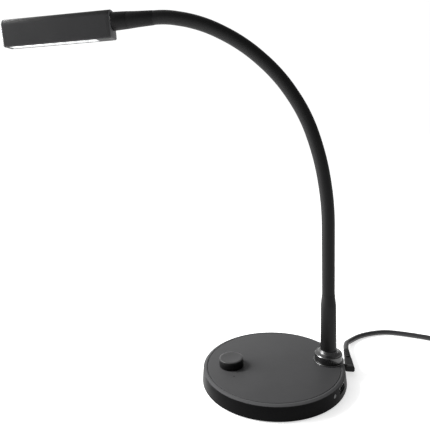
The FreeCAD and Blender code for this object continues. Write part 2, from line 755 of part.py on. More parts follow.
def biarc(start, start_way, end, end_way):
    """Two arcs that leave start and reach end along the given ways and meet smoothly."""
    chord = end - start
    both = start_way + end_way
    a = 2 * (start_way.dot(end_way) - 1)
    b = -2 * chord.dot(both)
    c = chord.dot(chord)
    reach = c / -b if abs(a) < 1e-9 else (-b - math.sqrt(b * b - 4 * a * c)) / (2 * a)
    near = start + start_way * reach
    far = end - end_way * reach
    joint = (near + far) * 0.5
    return arc_from(start, start_way, joint), arc_from(end, end_way * -1, joint)


def arc_from(start, way, end):
    """The arc that leaves start along way and reaches end."""
    chord = end - start
    across = chord - way * chord.dot(way)
    if across.Length < 1e-7:
        return Part.LineSegment(start, end).toShape()
    across.normalize()
    radius = chord.dot(chord) / (2 * chord.dot(across))
    centre = start + across * radius
    middle = start + end - centre * 2
    middle.normalize()
    return Part.Arc(start, centre + middle * radius, end).toShape()


COIL_TAIL = 26.0


def coil_frame():
    """Where the coil's own start lies, and how far it is turned, so that it goes on from the lead."""
    route_way = V(*CORD_ROUTE[-1]) - V(*CORD_ROUTE[-2])
    own_way = coil_way(0)
    turn = math.atan2(route_way.y, route_way.x) - math.atan2(own_way.y, own_way.x)
    start = V(*CORD_ROUTE[-1]) + route_way.normalize() * (2 * CORD_R)
    return start, math.degrees(turn)


def cord_coil():
    """One unbroken tube: a straight end, the turns, and the straight tail that goes to the adapter."""
    start, turn = coil_frame()
    steps = COIL_TURNS * 4
    edges = []
    first_way = coil_way(0)
    edges.append(Part.LineSegment(coil_point(0) - first_way * (2 * CORD_R), coil_point(0)).toShape())
    for i in range(steps):
        here, there = i / 4, (i + 1) / 4
        arcs = biarc(coil_point(here), coil_way(here), coil_point(there), coil_way(there))
        edges.extend(arcs)
    last_way = coil_way(COIL_TURNS)
    last = coil_point(COIL_TURNS)
    edges.append(Part.LineSegment(last, last + last_way * COIL_TAIL).toShape())
    wire = Part.Wire(Part.__sortEdges__(edges))
    tube = tube_along(wire, CORD_R, coil_point(0) - first_way * (2 * CORD_R), first_way)
    report_coil(wire, tube)
    return tube.translated(coil_point(0) * -1).rotated(V(0, 0, 0), UP, turn).translated(start)


def report_coil(wire, tube):
    """Print the coil's length, its volume against section times length, and its least gap to itself."""
    per_turn = 72
    points = [coil_point(i / per_turn) for i in range(COIL_TURNS * per_turn + 1)]
    least = 1e9
    for i, point in enumerate(points):
        for other in points[i + per_turn // 3:]:
            least = min(least, (point - other).Length)
    share = tube.Volume / (math.pi * CORD_R ** 2 * wire.Length)
    print("coil length", round(wire.Length, 1), "volume share", round(share, 4),
          "least gap", round(least - 2 * CORD_R, 2))


def place_adapter(shape):
    """From the adapter's own frame, its lead's end at the origin and +X along it, to its place."""
    start, turn = coil_frame()
    first = coil_point(0)
    last_way = coil_way(COIL_TURNS)
    tail = coil_point(COIL_TURNS) + last_way * COIL_TAIL - first
    own = math.degrees(math.atan2(last_way.y, last_way.x))
    placed = shape.rotated(V(0, 0, 0), UP, own).translated(tail)
    return placed.rotated(V(0, 0, 0), UP, turn).translated(start)


RELIEF_L = 15.0


def wall_adapter():
    """A plain rounded case that lies on its back, with a tapered relief on its short end."""
    length, width, height = ADAPTER
    floor = -CORD_R - LAYER_STEP
    case = block((RELIEF_L, -width / 2, floor), (RELIEF_L + length, width / 2, floor + height))
    upright = [edge for edge in case.Edges if edge.BoundBox.ZLength > height - 1]
    case = case.makeFillet(5.0, upright)
    top = [edge for edge in case.Edges if edge.BoundBox.ZMin > floor + height - 0.01]
    case = case.makeFillet(2.5, top)
    relief = Part.makeCone(CORD_R + 0.5, 4.6, RELIEF_L, V(0, 0, 0), V(1, 0, 0))
    return place_adapter(case.fuse(relief))


def adapter_pins():
    """Two flat blades that stand out of the case's face."""
    length, width, height = ADAPTER
    top = height - CORD_R - LAYER_STEP
    middle = RELIEF_L + length * 0.45
    blades = []
    for side in (-1, 1):
        y = side * 6.35
        blades.append(place_adapter(block((middle - 3.1, y - 0.75, top), (middle + 3.1, y + 0.75, top + 17))))
    return blades


# What each node is

save("base_housing", base_housing())
save("top_plate", top_plate())
save("base_weight", base_weight())
save("bottom_cover", bottom_cover())
save("cover_screws", *[cover_screw(*at_polar(SCREW_CIRCLE_R, angle)) for angle in SCREW_ANGLES])
save("base_pad", disc(PAD_R, 0, PAD_H))
save("dimmer_body", dimmer_body())
save("dimmer_nut", dimmer_nut())
save("dimmer_knob", dimmer_knob())
save("dimmer_shaft", disc(SHAFT_R, SHAFT_BOTTOM + 0.2, SHAFT_TOP, KNOB_X))
save("control_board", control_board())
save("board_screws", *[board_screw(*place) for place in BOARD_SCREWS])
save("usb_shell", usb_shell())
save("usb_tongue", usb_tongue())
save("indicator_lens", indicator_lens())
save("power_jack", power_jack())
save("base_leads", *base_leads())
save("post_flange", post_flange())
save("post_collar", post_collar())
save("post_sleeve", post_sleeve())
save("lower_ferrule", lower_ferrule())
save("hollow_stud", hollow_stud())
save("stud_nut", stud_nut())
save("stud_washer", stud_washer())
for number in range(len(NECK)):
    save("neck_core_" + str(number + 1), neck_core(number))
    save("neck_sleeve_" + str(number + 1), neck_sleeve(number))
for name, shape in (("head_boot", head_boot()), ("head_socket", head_socket()), ("socket_nut", socket_nut()),
                    ("neck_end_cap", neck_end_cap()), ("head_housing", head_housing()),
                    ("tip_end_cap", tip_end_cap()), ("heat_sink", heat_sink()), ("led_board", led_board()),
                    ("lens", lens()), ("lens_frame", lens_frame())):
    save(name, place_head(shape))
save("leds", *[place_head(shape) for shape in leds()])
save("power_plug", power_plug())
save("plug_barrel", plug_barrel())
save("power_cord", lead("power cord", CORD_ROUTE, CORD_R))
save("cord_coil", cord_coil())
save("wall_adapter", wall_adapter())
save("adapter_pins", *adapter_pins())
for number, stretch in enumerate(NECK[:-1]):
    print("joint", number + 1, [round(c, 2) for c in stretch.end], "heading", [round(c, 4) for c in stretch.end_way])
print("neck side", [round(c, 5) for c in ARM_SIDE], "head axis height", round(HEAD_Z, 2))
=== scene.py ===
import math

import bpy
import numpy as np
from bpy.props import FloatProperty, FloatVectorProperty, IntProperty, PointerProperty
from mathutils import Matrix, Vector


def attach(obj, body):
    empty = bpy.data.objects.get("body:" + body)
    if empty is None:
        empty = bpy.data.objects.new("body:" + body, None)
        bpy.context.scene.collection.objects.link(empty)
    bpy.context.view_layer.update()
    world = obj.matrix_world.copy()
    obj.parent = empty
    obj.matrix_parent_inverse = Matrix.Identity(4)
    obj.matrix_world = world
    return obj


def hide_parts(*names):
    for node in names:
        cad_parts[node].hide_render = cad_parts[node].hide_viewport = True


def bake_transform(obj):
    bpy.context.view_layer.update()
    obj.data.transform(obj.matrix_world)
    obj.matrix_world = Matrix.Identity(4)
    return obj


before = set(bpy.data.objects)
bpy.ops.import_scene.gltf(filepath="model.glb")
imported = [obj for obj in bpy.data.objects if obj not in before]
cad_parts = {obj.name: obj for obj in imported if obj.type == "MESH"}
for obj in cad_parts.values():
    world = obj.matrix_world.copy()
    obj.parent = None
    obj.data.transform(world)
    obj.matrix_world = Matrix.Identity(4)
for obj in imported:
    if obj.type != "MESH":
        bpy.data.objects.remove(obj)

bl_info = {
    "name": "Gooseneck desk lamp",
    "version": (1, 0, 0),
    "blender": (4, 5, 0),
    "location": "View3D > Sidebar > Lamp",
    "description": "Gives a gooseneck desk lamp its finished surfaces, its lead and its stage",
    "category": "Object",
}

MM = 0.001
UP = np.array([0.0, 0.0, 1.0])

# Base, knob and post, in millimetres

POST_X = 60.4
KNOB_X = -44.6
PAD_TOP = 1.0
DECK_UNDERSIDE = 13.2
DECK_TOP = 14.8
BASE_TOP = 16.0
RING_TOP = 17.2
COLLAR_SEAT = 21.0
COLLAR_TOP = 29.0
POST_TOP = 90.0

# Windows in the side wall: azimuths in degrees, sizes in millimetres

CUT_FROM, CUT_TO = 72, 78
USB_AZIMUTH = -35.5
USB_WINDOW = ((CUT_FROM, -6.75, 6.85), (CUT_TO, 6.75, 12.85))
JACK_AZIMUTH = 0.0
JACK_WINDOW = ((CUT_FROM, -4.65, 3.05), (CUT_TO, 4.65, 9.75))
INDICATOR_AZIMUTH = -48.0
INDICATOR_HEIGHT = 10.0
INDICATOR_BORE_R = 2.05

# Where the painted light, the painted shade and the printed index dot lie, in metres

RIM_HEIGHT = 14.7 * MM
KNOB_EDGE = 24.2 * MM
FADE = 0.5 * MM
INDEX_DOT = np.array([-43.3, -22.4, BASE_TOP]) * MM
INDEX_DOT_R = 0.7 * MM
DOT_FADE = 0.1 * MM
BEVEL_END, END_FACE_END = 0.9 * MM, 0.5 * MM
HIGHLIGHT_PLACE = 4.5 * MM
HIGHLIGHT_OUTSIDE, HIGHLIGHT_INSIDE = 0.9 * MM, 0.5 * MM
ARCH_FOOT, ARCH_FULL = 6.5, 3.0

# Stage: the camera was solved from the photograph, in millimetres; the lights are in metres

CAMERA_LENS = 34.922
CAMERA_SENSOR = 36.0
CAMERA_RIGHT = (0.99868, -0.01661, -0.04846)
CAMERA_UP = (0.0506, 0.17261, 0.98369)
CAMERA_BACK = (-0.00798, -0.98485, 0.17323)
CAMERA_PLACE = (-57.84, -415.14, 254.04)
FLOOR_HALF = 30.0
FLOOR_HEIGHT = -0.0002
KEY_PLACE, KEY_AIM, KEY_SIZE = (-0.4, 0.1, 0.45), (0, 0, 0.02), (0.13, 0.13)
SIDE_PLACE, SIDE_AIM, SIDE_SIZE = (-1.4, 0.25, 0.65), (0, 0, 0.2), (1.0, 1.1)
BRIGHT_SIDE = (-0.755, 0.655, 0.0)
SKY_EDGE = (0.08, 0.17)


class LampSizes(bpy.types.PropertyGroup):
    """Sizes that a user may change."""
    neck_radius: FloatProperty(
        name="Neck radius", description="Outside of the neck's sleeve", default=6.6 * MM, unit="LENGTH")
    cord_diameter: FloatProperty(
        name="Lead diameter", description="Outside of the lead's jacket", default=6.0 * MM, unit="LENGTH")
    cord_length: FloatProperty(
        name="Lead length", description="From the plug's relief to the adapter", default=1.496, unit="LENGTH")
    round_steps: IntProperty(
        name="Round steps", description="Faces round the base", default=192, min=48, max=512)


class LampColours(bpy.types.PropertyGroup):
    """Colours that a user may change."""
    plastic: FloatVectorProperty(
        name="Plastic", description="Moulded plastic of the base", subtype="COLOR", size=3,
        default=(0.003, 0.003, 0.0032))
    plate: FloatVectorProperty(
        name="Top plate", description="Paint of the top plate", subtype="COLOR", size=3,
        default=(0.045, 0.045, 0.046))
    neck: FloatVectorProperty(
        name="Neck", description="Smooth sleeve of the neck", subtype="COLOR", size=3,
        default=(0.004, 0.004, 0.0042))
    head: FloatVectorProperty(
        name="Head", description="Moulded satin plastic of the head", subtype="COLOR", size=3,
        default=(0.029, 0.029, 0.03))
    lead: FloatVectorProperty(
        name="Lead", description="Jacket of the lead", subtype="COLOR", size=3, default=(0.012, 0.012, 0.013))
    glow: FloatVectorProperty(
        name="Glow", description="Light behind the lens", subtype="COLOR", size=3, default=(1.0, 0.98, 0.95))


class StageSettings(bpy.types.PropertyGroup):
    """The floor and the lights."""
    floor: FloatVectorProperty(
        name="Floor", description="Plain pale floor", subtype="COLOR", size=3, default=(0.8, 0.8, 0.8))
    floor_glow: FloatProperty(name="Floor glow", description="Light that the floor gives itself", default=0.6)
    key_power: FloatProperty(
        name="Key power", description="Small light from above, behind and left", default=3.0)
    side_power: FloatProperty(
        name="Side power", description="Large soft light from the left", default=36.0)
    sky: FloatProperty(
        name="Sky", description="Brightness of the surroundings behind and to the left", default=1.1)
    shade: FloatProperty(
        name="Shade", description="Brightness of the surroundings elsewhere", default=0.3)


# Surfaces as arrays of points

def closed_mesh(name, verts, faces, quads):
    """A closed mesh whose faces look outward: they are turned over where the volume, the sum of
    a . (b x c) / 6 over the quads' triangles, is negative."""
    corner = verts[quads] - verts.mean(0)
    volume = (np.cross(corner[:, 0], corner[:, 1]) * corner[:, 2]).sum()
    volume += (np.cross(corner[:, 0], corner[:, 2]) * corner[:, 3]).sum()
    if volume < 0:
        faces = [face[::-1] for face in faces]
    mesh = bpy.data.meshes.new(name)
    mesh.from_pydata(verts.tolist(), [], faces)
    mesh.validate()
    mesh.update()
    return mesh


def skin(name, rings, loop=False):
    """A closed mesh from rings of points: rings[i, j] is point j of ring i, and j closes on itself.
    A ring whose points all coincide is a pole, one vertex. With loop the last ring joins the first."""
    rings = np.asarray(rings, float)
    around = rings.shape[1]
    pole = np.ptp(rings, axis=1).max(axis=1) < 1e-9
    sizes = np.where(pole, 1, around)
    starts = np.concatenate([[0], np.cumsum(sizes)[:-1]])
    verts = np.concatenate([ring[:1] if flat else ring for ring, flat in zip(rings, pole)])
    index = starts[:, None] + np.where(pole[:, None], 0, np.arange(around)[None, :])
    low, high = (index, np.roll(index, -1, 0)) if loop else (index[:-1], index[1:])
    quads = np.stack([low, np.roll(low, -1, 1), np.roll(high, -1, 1), high], -1).reshape(-1, 4)
    return closed_mesh(name, verts, [list(dict.fromkeys(quad)) for quad in quads.tolist()], quads)


def extrusion(name, rings):
    """A closed wall from rings of points, with one flat face at either end."""
    count, around = rings.shape[:2]
    index = np.arange(count * around).reshape(count, around)
    low, high = index[:-1], index[1:]
    quads = np.stack([low, np.roll(low, -1, 1), np.roll(high, -1, 1), high], -1).reshape(-1, 4)
    faces = quads.tolist() + [index[0][::-1].tolist(), index[-1].tolist()]
    return closed_mesh(name, rings.reshape(-1, 3), faces, quads)


def piece(name, mesh, material, sharp_angle=35.0):
    """An object at the origin with one material, smooth but for its sharp edges."""
    obj = bpy.data.objects.new(name, mesh)
    bpy.context.scene.collection.objects.link(obj)
    mesh.materials.append(material)
    mesh.shade_smooth()
    mesh.set_sharp_from_angle(angle=math.radians(sharp_angle))
    return obj


def eased(corners, steps=5):
    """An outline whose corners (x, y, radius) are rounded: each corner gives way to an arc tangent to its
    two sides, its centre on the bisector at radius / sin(half the corner's angle)."""
    points = []
    for i, (x, y, radius) in enumerate(corners):
        here = np.array([x, y], float)
        if radius <= 0:
            points.append(here[None])
            continue
        back = np.array(corners[i - 1][:2]) - here
        ahead = np.array(corners[(i + 1) % len(corners)][:2]) - here
        back, ahead = back / np.linalg.norm(back), ahead / np.linalg.norm(ahead)
        half = math.acos(np.clip(back @ ahead, -1, 1)) / 2
        middle = here + (back + ahead) / np.linalg.norm(back + ahead) * radius / math.sin(half)
        reach = radius / math.tan(half)
        first, last = here + back * reach - middle, here + ahead * reach - middle
        sweep = math.atan2(first[0] * last[1] - first[1] * last[0], first @ last)
        angle = math.atan2(first[1], first[0]) + sweep * np.linspace(0, 1, steps)
        points.append(middle + radius * np.stack([np.cos(angle), np.sin(angle)], -1))
    return np.concatenate(points)


def lathe(profile, centre, steps, axis=UP):
    """Rings of a solid of revolution: each profile point (radius, height) goes round the axis as
    centre + height * axis + radius * (cos a * e1 + sin a * e2)."""
    axis = np.asarray(axis, float)
    e1 = np.cross(axis, UP) if abs(axis[2]) < 0.9 else np.array([1.0, 0.0, 0.0])
    e1 = e1 / np.linalg.norm(e1)
    e2 = np.cross(axis, e1)
    angle = np.linspace(0, 2 * np.pi, steps, endpoint=False)
    spokes = np.cos(angle)[:, None] * e1 + np.sin(angle)[:, None] * e2
    return np.asarray(centre) + profile[:, None, 1:2] * axis + profile[:, None, 0:1] * spokes


def turned(name, corners, centre, material, axis=UP, loop=False, ease_steps=5, steps=96):
    """A turned piece from its outline's corners (radius, height, easing), in millimetres."""
    profile = eased(corners, ease_steps) * MM
    return piece(name, skin(name, lathe(profile, centre, steps, axis), loop), material)


# Finishes

def shader(name, colour, roughness, **sockets):
    """A material with its Principled shader; plain values are set on the shader's own sockets."""
    material = bpy.data.materials.new(name)
    material.use_nodes = True
    bsdf = material.node_tree.nodes["Principled BSDF"]
    bsdf.inputs["Base Color"].default_value = (*colour, 1)
    bsdf.inputs["Roughness"].default_value = roughness
    for socket, value in sockets.items():
        bsdf.inputs[socket.replace("_", " ")].default_value = value
    return material, material.node_tree, bsdf


def object_noise(tree, scale, detail=3.0, stretch=(1, 1, 1)):
    """A noise on Object coordinates, in features per metre."""
    coords = tree.nodes.new("ShaderNodeTexCoord")
    mapping = tree.nodes.new("ShaderNodeMapping")
    mapping.inputs["Scale"].default_value = stretch
    noise = tree.nodes.new("ShaderNodeTexNoise")
    noise.inputs["Scale"].default_value = scale
    noise.inputs["Detail"].default_value = detail
    tree.links.new(coords.outputs["Object"], mapping.inputs["Vector"])
    tree.links.new(mapping.outputs["Vector"], noise.inputs["Vector"])
    return noise.outputs["Fac"]


def vary(tree, factor, socket, low, high):
    """A factor from 0 to 1 spread between two values of a socket."""
    spread = tree.nodes.new("ShaderNodeMapRange")
    spread.inputs["To Min"].default_value = low
    spread.inputs["To Max"].default_value = high
    tree.links.new(factor, spread.inputs["Value"])
    tree.links.new(spread.outputs["Result"], socket)


def tint(tree, factor, socket, dark, light):
    """A slow change of colour over the surface."""
    mix = tree.nodes.new("ShaderNodeMix")
    mix.data_type = "RGBA"
    mix.inputs[6].default_value = (*dark, 1)
    mix.inputs[7].default_value = (*light, 1)
    tree.links.new(factor, mix.inputs[0])
    tree.links.new(mix.outputs[2], socket)


def bump(tree, factor, bsdf, depth, strength=1.0):
    node = tree.nodes.new("ShaderNodeBump")
    node.inputs["Strength"].default_value = strength
    node.inputs["Distance"].default_value = depth
    tree.links.new(factor, node.inputs["Height"])
    tree.links.new(node.outputs["Normal"], bsdf.inputs["Normal"])


def satin(name, colour, roughness=0.45, grain=1500.0, depth=0.02 * MM, spread=0.12, **sockets):
    """A satin finish: fine grain in the normal, and broad faint changes of colour and gloss."""
    material, tree, bsdf = shader(name, colour, roughness, **sockets)
    broad = object_noise(tree, 35.0, 4.0)
    dark = [c * (1 - spread) for c in colour]
    light = [c * (1 + spread) for c in colour]
    tint(tree, broad, bsdf.inputs["Base Color"], dark, light)
    vary(tree, broad, bsdf.inputs["Roughness"], roughness - 0.05, roughness + 0.05)
    bump(tree, object_noise(tree, grain, 2.0), bsdf, depth, 0.6)
    return material


def along(tree, direction, origin):
    """The length of Object coordinates along a direction from an origin, in metres."""
    coords = tree.nodes.new("ShaderNodeTexCoord")
    shift = tree.nodes.new("ShaderNodeVectorMath")
    shift.operation = "SUBTRACT"
    shift.inputs[1].default_value = tuple(origin)
    dot = tree.nodes.new("ShaderNodeVectorMath")
    dot.operation = "DOT_PRODUCT"
    dot.inputs[1].default_value = tuple(direction)
    tree.links.new(coords.outputs["Object"], shift.inputs[0])
    tree.links.new(shift.outputs[0], dot.inputs[0])
    return dot.outputs["Value"]


def maths(tree, operation, first, second=0.0):
    """One step of arithmetic; an input may be a socket or a number."""
    node = tree.nodes.new("ShaderNodeMath")
    node.operation = operation
    for socket, value in zip(node.inputs, (first, second)):
        if isinstance(value, (int, float)):
            socket.default_value = value
        else:
            tree.links.new(value, socket)
    return node.outputs[0]


def distance_of(tree, x, y):
    """The distance sqrt(x^2 + y^2)."""
    square = maths(tree, "ADD", maths(tree, "MULTIPLY", x, x), maths(tree, "MULTIPLY", y, y))
    return maths(tree, "SQRT", square)


def overlay(material, measure, low, high, colour):
    """Lay a colour over a material: its share goes from 0 to 1 as the measure goes from low to high."""
    tree = material.node_tree
    base = tree.nodes["Principled BSDF"].inputs["Base Color"]
    share = tree.nodes.new("ShaderNodeMapRange")
    share.inputs["From Min"].default_value = low
    share.inputs["From Max"].default_value = high
    tree.links.new(measure, share.inputs["Value"])
    mix = tree.nodes.new("ShaderNodeMix")
    mix.data_type = "RGBA"
    mix.inputs[7].default_value = (*colour, 1)
    tree.links.new(share.outputs["Result"], mix.inputs[0])
    tree.links.new(base.links[0].from_socket, mix.inputs[6])
    tree.links.new(mix.outputs[2], base)
    return material


def painted_light_above(name, colour, painted_light, height, roughness, **sockets):
    """A plastic that is near black below a height, with painted light above it: a greyer colour laid on where
    light from above falls.
    """
    material = satin(name, colour, roughness, **sockets)
    return overlay(material, along(material.node_tree, UP, (0, 0, 0)), height, height + FADE, painted_light)


def arched(name, colour, roughness):
    """The head's plastic: its sides are grey, and the arch above them, by its height, is painted near black
    as painted shade.
    """
    material = satin(name, colour, roughness, Specular_IOR_Level=0.1)
    height = along(material.node_tree, UP, HEAD_ORIGIN)
    foot, full = (HEAD_TOP - ARCH_FOOT) * MM, (HEAD_TOP - ARCH_FULL) * MM
    return overlay(material, height, foot, full, (0.006, 0.006, 0.006))


def painted_end_highlight(name, colour):
    """The cap's plastic, greyed on its bevel and its end face by the length along the head: a painted
    highlight on the bevel and painted light on the end face.
    """
    material = arched(name, colour, 0.42)
    length = along(material.node_tree, ARM, HEAD_ORIGIN)
    return overlay(material, length, BEVEL_END, END_FACE_END, [2.6 * c for c in colour])


def plug_rubber(colour):
    """The plug's rubber, with a painted highlight, a paler line across it near the jack, by the distance
    along the plug.
    """
    material = satin("plug_rubber", colour, 0.5, Specular_IOR_Level=0.2)
    tree = material.node_tree
    reach = along(tree, PLUG_WAY, np.array(PLUG_START) * MM)
    past = maths(tree, "ABSOLUTE", maths(tree, "SUBTRACT", reach, HIGHLIGHT_PLACE))
    return overlay(material, past, HIGHLIGHT_OUTSIDE, HIGHLIGHT_INSIDE, (0.07, 0.07, 0.07))


def dotted(name, colour, roughness):
    """The plate's paint with the knob's index dot, a dark spot by its distance in x and y."""
    material = satin(name, colour, roughness, grain=2600.0, depth=0.015 * MM, Specular_IOR_Level=0.06)
    tree = material.node_tree
    x, y = (along(tree, axis, INDEX_DOT) for axis in ((1, 0, 0), (0, 1, 0)))
    outside, inside = INDEX_DOT_R + DOT_FADE, INDEX_DOT_R - DOT_FADE
    return overlay(material, distance_of(tree, x, y), outside, inside, (0.002, 0.002, 0.002))


def metal(name, colour, roughness, brushed=0.0):
    """A bare metal; brushed draws its grain out along one axis."""
    material, tree, bsdf = shader(name, colour, roughness, Metallic=1.0)
    streaks = object_noise(tree, 600.0, 3.0, (1, 1, 1 - 0.95 * brushed))
    vary(tree, streaks, bsdf.inputs["Roughness"], roughness - 0.06, roughness + 0.08)
    bump(tree, streaks, bsdf, 0.004 * MM, 0.4)
    return material


def circuit_board():
    """Green solder mask over faint copper."""
    material, tree, bsdf = shader("circuit_board", (0.01, 0.09, 0.035), 0.35)
    copper = object_noise(tree, 500.0, 1.0)
    tint(tree, copper, bsdf.inputs["Base Color"], (0.008, 0.07, 0.03), (0.02, 0.13, 0.05))
    return material


def frosted_lens(glow):
    """A frosted diffuser, lit brighter over each chip: the distance from the nearest chip's middle is
    sqrt((pitch * (fract(u / pitch) - 0.5))^2 + v^2), with u along the head and v across it."""
    material, tree, bsdf = shader("frosted_lens", (0.4, 0.41, 0.42), 0.45, IOR=1.49,
                                  Emission_Color=(*glow, 1))
    u = along(tree, ARM, HEAD_ORIGIN + ARM * (WINDOW[0] - 1.0) * MM)
    v = along(tree, SIDE, HEAD_ORIGIN)
    pitch = (WINDOW[1] - WINDOW[0]) / CHIPS * MM
    share = maths(tree, "FRACT", maths(tree, "DIVIDE", u, pitch))
    du = maths(tree, "MULTIPLY", maths(tree, "SUBTRACT", share, 0.5), pitch)
    distance = distance_of(tree, du, v)
    spread = tree.nodes.new("ShaderNodeMapRange")
    spread.interpolation_type = "SMOOTHSTEP"
    spread.inputs["From Min"].default_value = 5.5 * MM
    spread.inputs["From Max"].default_value = 2.0 * MM
    spread.inputs["To Min"].default_value = 0.1
    spread.inputs["To Max"].default_value = 0.9
    tree.links.new(distance, spread.inputs["Value"])
    tree.links.new(spread.outputs["Result"], bsdf.inputs["Emission Strength"])
    return material


class Finishes:
    """Every material, each made once."""

    def __init__(self, colours):
        # The base's chamfered top edge above RIM_HEIGHT is painted lighter than its wall: a painted highlight
        # along the chamfer.
        painted_light = [1.3 * c for c in colours.plate]
        self.moulded = satin("moulded_black", colours.plastic, 0.35, Specular_IOR_Level=0.06)
        self.housing = painted_light_above("housing_black", colours.plastic, painted_light, RIM_HEIGHT, 0.35,
                              Specular_IOR_Level=0.03)
        self.plate = dotted("painted_plate", colours.plate, 0.46)
        # The knob's top above KNOB_EDGE is painted grey, painted light as if lit from above, over the
        # near-black plastic of its sides.
        cap = [0.8 * c for c in colours.plate]
        self.knob = painted_light_above("knob_black", colours.plastic, cap, KNOB_EDGE, 0.35, Specular_IOR_Level=0.15)
        self.collar = satin("collar_black", colours.neck, 0.26, grain=2600.0, depth=0.006 * MM,
                            Specular_IOR_Level=0.9)
        self.post = satin("painted_post", colours.neck, 0.42, grain=2200.0, depth=0.01 * MM,
                          Specular_IOR_Level=0.16)
        self.end = painted_end_highlight("head_end", colours.head)
        self.frame = satin("window_frame_black", colours.neck, 0.45, Specular_IOR_Level=0.1)
        self.neck = satin("neck_skin", colours.neck, 0.45, grain=1100.0, Specular_IOR_Level=0.15)
        self.boot = satin("boot_rubber", colours.neck, 0.5, grain=1400.0, Specular_IOR_Level=0.12)
        self.head = arched("head_black", colours.head, 0.5)
        self.lead = satin("lead_jacket", colours.lead, 0.4, grain=1800.0, depth=0.01 * MM)
        self.plug = plug_rubber(colours.neck)
        self.adapter = satin("adapter_black", colours.plastic, 0.55, grain=900.0, depth=0.04 * MM)
        self.pad = satin("pad_foam", (0.012, 0.012, 0.012), 0.85, grain=3000.0, depth=0.05 * MM)
        self.insulator = satin("insulator_black", (0.02, 0.02, 0.021), 0.35)
        self.steel = metal("bare_steel", (0.42, 0.42, 0.43), 0.38, 0.6)
        self.plated = metal("bright_plating", (0.78, 0.78, 0.8), 0.2)
        self.aluminium = metal("extruded_aluminium", (0.75, 0.75, 0.77), 0.34, 0.9)
        self.board = circuit_board()
        self.chip = shader("lit_chip", (0.9, 0.85, 0.6), 0.4, Emission_Color=(*colours.glow, 1),
                           Emission_Strength=6.0)[0]
        self.lens = frosted_lens(colours.glow)
        self.pipe = satin("light_pipe", (0.009, 0.009, 0.0095), 0.3, grain=3000.0, depth=0.003 * MM)


FINISH = {}


def finishes():
    """The materials, made at their first use."""
    if "all" not in FINISH:
        FINISH["all"] = Finishes(bpy.context.scene.lamp_colours)
    return FINISH["all"]


def dress(material, *names):
    """Give CAD nodes that keep their own shape a finish."""
    for name in names:
        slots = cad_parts[name].data.materials
        slots.clear()
        slots.append(material)


def stand_in(obj, body, slot, *nodes):
    """A finished piece takes the place of CAD nodes on their body."""
    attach(obj, body)
    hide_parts(*nodes)


# The neck's line

NECK_START = np.array([POST_X, 0.0, 92.0]) * MM
NECK_PITCH = 46.4 * MM
NECK_GAP = 2.0 * MM
NECK_BENDS = (0, 0, 8.4, 9.3, 14.7, 14.3, 13.9, 16.7, 12.7)
ARM_AZIMUTH = math.radians(171.3)
ARM = np.array([math.cos(ARM_AZIMUTH), math.sin(ARM_AZIMUTH), 0.0])
SIDE = np.cross(UP, ARM)
HEAD_REACH = 210.0 * MM
NECK_FOOT = -5.0 * MM
NECK_END_REACH = 190.0 * MM


def neck_line(spacing=0.1 * MM):
    """The neck's middle line. Its heading falls at a steady rate along each sleeve, and the points are
    the running sum of steps along that heading. Returns arc lengths, points and headings in radians."""
    lengths = np.full(len(NECK_BENDS), NECK_PITCH)
    lengths[[0, -1]] /= 2
    ends = np.cumsum(lengths)
    first = np.concatenate([[0.0], ends[:-1] + NECK_GAP])
    last = np.concatenate([ends[:-1] - NECK_GAP, ends[-1:]])
    turned_by = np.concatenate([[0.0], np.cumsum(NECK_BENDS)])
    knots = np.stack([first, last], -1).ravel()
    angles = np.radians(90 - np.stack([turned_by[:-1], turned_by[1:]], -1).ravel())
    s = np.arange(NECK_FOOT, ends[-1] + 0.1, spacing)
    heading = np.interp((s[1:] + s[:-1]) / 2, knots, angles)
    steps = (np.cos(heading)[:, None] * ARM + np.sin(heading)[:, None] * UP) * spacing
    start = NECK_START + UP * NECK_FOOT
    points = np.concatenate([[start], start + np.cumsum(steps, 0)])
    return s, points, np.interp(s, knots, angles)


NECK_S, NECK_POINTS, NECK_HEADINGS = neck_line()
HEAD_ORIGIN = np.array([NECK_START[0], NECK_START[1], NECK_POINTS[-1][2]]) + ARM * HEAD_REACH


def neck_point(s):
    """The middle line at arc lengths s."""
    return np.stack([np.interp(s, NECK_S, NECK_POINTS[:, k]) for k in range(3)], -1)


def neck_rings(first, last, radius, around=48, spacing=1.6 * MM):
    """Rings round the neck's line from arc length first to last: each point is
    centre + r (cos a * side + sin a * normal)."""
    s = np.linspace(first, last, max(4, int((last - first) / spacing)))
    heading = np.interp(s, NECK_S, NECK_HEADINGS)
    normal = -np.sin(heading)[:, None] * ARM + np.cos(heading)[:, None] * UP
    angle = np.linspace(0, 2 * np.pi, around, endpoint=False)
    circle = np.cos(angle)[None, :, None] * SIDE + np.sin(angle)[None, :, None] * normal[:, None, :]
    return neck_point(s)[:, None, :] + radius * circle


# The head's own frame: x along the head, y to its front, z up

HEAD_TWIST = math.radians(-2.7)
HEAD_L = 118.0
TIP_SEAM = 114.5
NECK_CAP = 4.0
HEAD_HALF, HEAD_TOP, HEAD_BOTTOM = 8.0, 10.9, -16.5
HEAD_ARCH, HEAD_EDGE, HEAD_WALL = 7.0, 2.0, 1.5
CHANNEL_LIFT = 0.06       # keeps the channel's foot inside the solid
LIP = 1.45                # easing of the channel's lower edges
SECTION_STEPS = 11        # points in each rounded corner of the section
WINDOW = (17.0, HEAD_L - 5.0)
CHIPS = 8


def to_head(points):
    """Points in the head's frame, in millimetres, to their place: turned about x by the twist, then
    laid along the arm."""
    points = np.asarray(points, float) * MM
    y = points[..., 1:2] * math.cos(HEAD_TWIST) - points[..., 2:3] * math.sin(HEAD_TWIST)
    z = points[..., 1:2] * math.sin(HEAD_TWIST) + points[..., 2:3] * math.cos(HEAD_TWIST)
    return HEAD_ORIGIN + points[..., 0:1] * ARM + y * SIDE + z * UP


